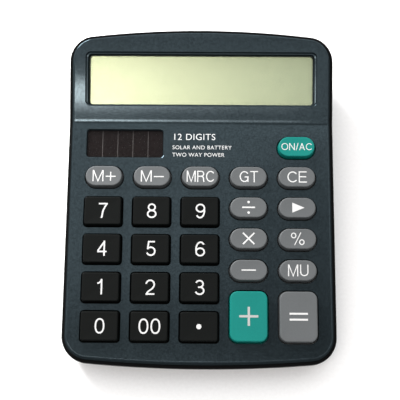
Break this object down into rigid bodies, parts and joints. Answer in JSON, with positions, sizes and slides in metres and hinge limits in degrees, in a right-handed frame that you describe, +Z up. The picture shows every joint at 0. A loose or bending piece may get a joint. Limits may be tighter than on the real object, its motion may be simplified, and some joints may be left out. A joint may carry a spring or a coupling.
{
  "type": "desk calculator",
  "caption": "Wedge-shaped desk calculator with a sloped display panel, a solar cell, oval function keys, tall add and equals keys and a sliding battery door.",
  "frame": {"origin": "on the table, under the middle of the case", "axes": "+X to the user's right, +Y to the rear (display end), +Z up"},
  "size_m": [0.1182, 0.1482, 0.0383],
  "materials": {
    "slate_case": "fine metallic-effect moulded plastic, satin",
    "black_case": "fine textured moulded plastic",
    "black_key": "satin moulded plastic",
    "grey_key": "satin moulded plastic",
    "teal_key": "satin moulded plastic",
    "clear_window": "clear moulded window",
    "lcd_glass": "reflective liquid-crystal panel",
    "solar_glass": "amorphous cell on glass",
    "keypad_rubber": "moulded silicone",
    "foot_rubber": "matt",
    "board": "laminate with solder resist",
    "resin": "cured potting resin",
    "white_plastic": "moulded plastic",
    "steel": "nickel plated",
    "cell_jacket": "plain printed jacket",
    "capacitor_sleeve": "shrunk sleeve",
    "resistor_body": "lacquered",
    "ribbon": "polyimide film",
    "wire_red": "insulated wire",
    "wire_black": "insulated wire"
  },
  "bodies": {
    "case": {"top_housing": "slate_case", "bottom_housing": "black_case", "display_lens": "clear_window", "lcd_panel": "lcd_glass", "lcd_bracket": "white_plastic", "lcd_ribbon": "ribbon", "solar_window": "clear_window", "solar_cell": "solar_glass", "rubber_keypad": "keypad_rubber", "main_board": "board", "ic_blob": "resin", "capacitor": "capacitor_sleeve", "resistor": "resistor_body", "battery_cell": "cell_jacket", "battery_spring": "steel", "battery_plate": "steel", "wire_battery_negative": "wire_black", "wire_battery_positive": "wire_red", "wire_solar_negative": "wire_black", "wire_solar_positive": "wire_red", "foot_front_left": "foot_rubber", "foot_front_right": "foot_rubber", "foot_rear_left": "foot_rubber", "foot_rear_right": "foot_rubber", "case_screw_front_left": "steel", "case_screw_front_right": "steel", "case_screw_centre": "steel", "case_screw_rear_left": "steel", "case_screw_rear_right": "steel", "board_screw_1": "steel", "board_screw_2": "steel", "board_screw_3": "steel", "board_screw_4": "steel"},
    "key_on": {"key_on": "teal_key"},
    "key_m_plus": {"key_m_plus": "grey_key"},
    "key_m_minus": {"key_m_minus": "grey_key"},
    "key_mrc": {"key_mrc": "grey_key"},
    "key_gt": {"key_gt": "grey_key"},
    "key_ce": {"key_ce": "grey_key"},
    "key_divide": {"key_divide": "grey_key"},
    "key_backspace": {"key_backspace": "grey_key"},
    "key_multiply": {"key_multiply": "grey_key"},
    "key_percent": {"key_percent": "grey_key"},
    "key_subtract": {"key_subtract": "grey_key"},
    "key_mark_up": {"key_mark_up": "grey_key"},
    "key_add": {"key_add": "teal_key"},
    "key_equals": {"key_equals": "grey_key"},
    "key_7": {"key_7": "black_key"},
    "key_8": {"key_8": "black_key"},
    "key_9": {"key_9": "black_key"},
    "key_4": {"key_4": "black_key"},
    "key_5": {"key_5": "black_key"},
    "key_6": {"key_6": "black_key"},
    "key_1": {"key_1": "black_key"},
    "key_2": {"key_2": "black_key"},
    "key_3": {"key_3": "black_key"},
    "key_0": {"key_0": "black_key"},
    "key_00": {"key_00": "black_key"},
    "key_point": {"key_point": "black_key"},
    "battery_door": {"battery_door": "black_case"}
  },
  "joints": [
    {"name": "key_on_press", "type": "slide", "parent": "case", "child": "key_on", "axis": [0, 0.1045, -0.9945], "range_m": [0, 0.0015], "stiffness_N_per_m": 500, "deforming": ["rubber_keypad"]},
    {"name": "key_m_plus_press", "type": "slide", "parent": "case", "child": "key_m_plus", "axis": [0, 0.1045, -0.9945], "range_m": [0, 0.0015], "stiffness_N_per_m": 500, "deforming": ["rubber_keypad"]},
    {"name": "key_m_minus_press", "type": "slide", "parent": "case", "child": "key_m_minus", "axis": [0, 0.1045, -0.9945], "range_m": [0, 0.0015], "stiffness_N_per_m": 500, "deforming": ["rubber_keypad"]},
    {"name": "key_mrc_press", "type": "slide", "parent": "case", "child": "key_mrc", "axis": [0, 0.1045, -0.9945], "range_m": [0, 0.0015], "stiffness_N_per_m": 500, "deforming": ["rubber_keypad"]},
    {"name": "key_gt_press", "type": "slide", "parent": "case", "child": "key_gt", "axis": [0, 0.1045, -0.9945], "range_m": [0, 0.0015], "stiffness_N_per_m": 500, "deforming": ["rubber_keypad"]},
    {"name": "key_ce_press", "type": "slide", "parent": "case", "child": "key_ce", "axis": [0, 0.1045, -0.9945], "range_m": [0, 0.0015], "stiffness_N_per_m": 500, "deforming": ["rubber_keypad"]},
    {"name": "key_divide_press", "type": "slide", "parent": "case", "child": "key_divide", "axis": [0, 0.1045, -0.9945], "range_m": [0, 0.0015], "stiffness_N_per_m": 500, "deforming": ["rubber_keypad"]},
    {"name": "key_backspace_press", "type": "slide", "parent": "case", "child": "key_backspace", "axis": [0, 0.1045, -0.9945], "range_m": [0, 0.0015], "stiffness_N_per_m": 500, "deforming": ["rubber_keypad"]},
    {"name": "key_multiply_press", "type": "slide", "parent": "case", "child": "key_multiply", "axis": [0, 0.1045, -0.9945], "range_m": [0, 0.0015], "stiffness_N_per_m": 500, "deforming": ["rubber_keypad"]},
    {"name": "key_percent_press", "type": "slide", "parent": "case", "child": "key_percent", "axis": [0, 0.1045, -0.9945], "range_m": [0, 0.0015], "stiffness_N_per_m": 500, "deforming": ["rubber_keypad"]},
    {"name": "key_subtract_press", "type": "slide", "parent": "case", "child": "key_subtract", "axis": [0, 0.1045, -0.9945], "range_m": [0, 0.0015], "stiffness_N_per_m": 500, "deforming": ["rubber_keypad"]},
    {"name": "key_mark_up_press", "type": "slide", "parent": "case", "child": "key_mark_up", "axis": [0, 0.1045, -0.9945], "range_m": [0, 0.0015], "stiffness_N_per_m": 500, "deforming": ["rubber_keypad"]},
    {"name": "key_add_press", "type": "slide", "parent": "case", "child": "key_add", "axis": [0, 0.1045, -0.9945], "range_m": [0, 0.0015], "stiffness_N_per_m": 500, "deforming": ["rubber_keypad"]},
    {"name": "key_equals_press", "type": "slide", "parent": "case", "child": "key_equals", "axis": [0, 0.1045, -0.9945], "range_m": [0, 0.0015], "stiffness_N_per_m": 500, "deforming": ["rubber_keypad"]},
    {"name": "key_7_press", "type": "slide", "parent": "case", "child": "key_7", "axis": [0, 0.1045, -0.9945], "range_m": [0, 0.0015], "stiffness_N_per_m": 500, "deforming": ["rubber_keypad"]},
    {"name": "key_8_press", "type": "slide", "parent": "case", "child": "key_8", "axis": [0, 0.1045, -0.9945], "range_m": [0, 0.0015], "stiffness_N_per_m": 500, "deforming": ["rubber_keypad"]},
    {"name": "key_9_press", "type": "slide", "parent": "case", "child": "key_9", "axis": [0, 0.1045, -0.9945], "range_m": [0, 0.0015], "stiffness_N_per_m": 500, "deforming": ["rubber_keypad"]},
    {"name": "key_4_press", "type": "slide", "parent": "case", "child": "key_4", "axis": [0, 0.1045, -0.9945], "range_m": [0, 0.0015], "stiffness_N_per_m": 500, "deforming": ["rubber_keypad"]},
    {"name": "key_5_press", "type": "slide", "parent": "case", "child": "key_5", "axis": [0, 0.1045, -0.9945], "range_m": [0, 0.0015], "stiffness_N_per_m": 500, "deforming": ["rubber_keypad"]},
    {"name": "key_6_press", "type": "slide", "parent": "case", "child": "key_6", "axis": [0, 0.1045, -0.9945], "range_m": [0, 0.0015], "stiffness_N_per_m": 500, "deforming": ["rubber_keypad"]},
    {"name": "key_1_press", "type": "slide", "parent": "case", "child": "key_1", "axis": [0, 0.1045, -0.9945], "range_m": [0, 0.0015], "stiffness_N_per_m": 500, "deforming": ["rubber_keypad"]},
    {"name": "key_2_press", "type": "slide", "parent": "case", "child": "key_2", "axis": [0, 0.1045, -0.9945], "range_m": [0, 0.0015], "stiffness_N_per_m": 500, "deforming": ["rubber_keypad"]},
    {"name": "key_3_press", "type": "slide", "parent": "case", "child": "key_3", "axis": [0, 0.1045, -0.9945], "range_m": [0, 0.0015], "stiffness_N_per_m": 500, "deforming": ["rubber_keypad"]},
    {"name": "key_0_press", "type": "slide", "parent": "case", "child": "key_0", "axis": [0, 0.1045, -0.9945], "range_m": [0, 0.0015], "stiffness_N_per_m": 500, "deforming": ["rubber_keypad"]},
    {"name": "key_00_press", "type": "slide", "parent": "case", "child": "key_00", "axis": [0, 0.1045, -0.9945], "range_m": [0, 0.0015], "stiffness_N_per_m": 500, "deforming": ["rubber_keypad"]},
    {"name": "key_point_press", "type": "slide", "parent": "case", "child": "key_point", "axis": [0, 0.1045, -0.9945], "range_m": [0, 0.0015], "stiffness_N_per_m": 500, "deforming": ["rubber_keypad"]},
    {"name": "battery_door_slide", "type": "slide", "parent": "case", "child": "battery_door", "axis": [0, 1, 0], "range_m": [0, 0.026]}
  ]
}
